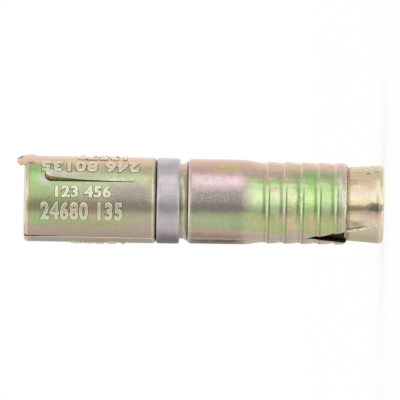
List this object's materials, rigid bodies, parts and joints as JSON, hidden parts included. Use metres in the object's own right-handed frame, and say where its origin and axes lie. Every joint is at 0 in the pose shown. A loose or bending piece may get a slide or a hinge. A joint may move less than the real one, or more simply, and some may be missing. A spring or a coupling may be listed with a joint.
{
  "type": "expansion anchor",
  "caption": "Sleeve-type expansion anchor: a bolt draws its tapered nut into the slotted sleeve, which spreads and grips the drilled hole.",
  "frame": {"origin": "centre of the cone nut's flat end, on which the anchor stands", "axes": "+Z along the anchor's axis from the nut to the mouth; -Y towards the side that the picture shows, with the barb between -Y and +X"},
  "size_m": [0.0096, 0.0095, 0.0407],
  "materials": {
    "sleeve_zinc": "yellow zinc plate with soft iridescent patches",
    "ring_plastic": "satin, with fine turned lines",
    "nut_zinc": "pale yellow zinc plate"
  },
  "bodies": {
    "root": {"extension_sleeve": "sleeve_zinc", "compression_ring": "ring_plastic", "expansion_sleeve": "sleeve_zinc", "cone_nut": "nut_zinc"}
  },
  "joints": []
}
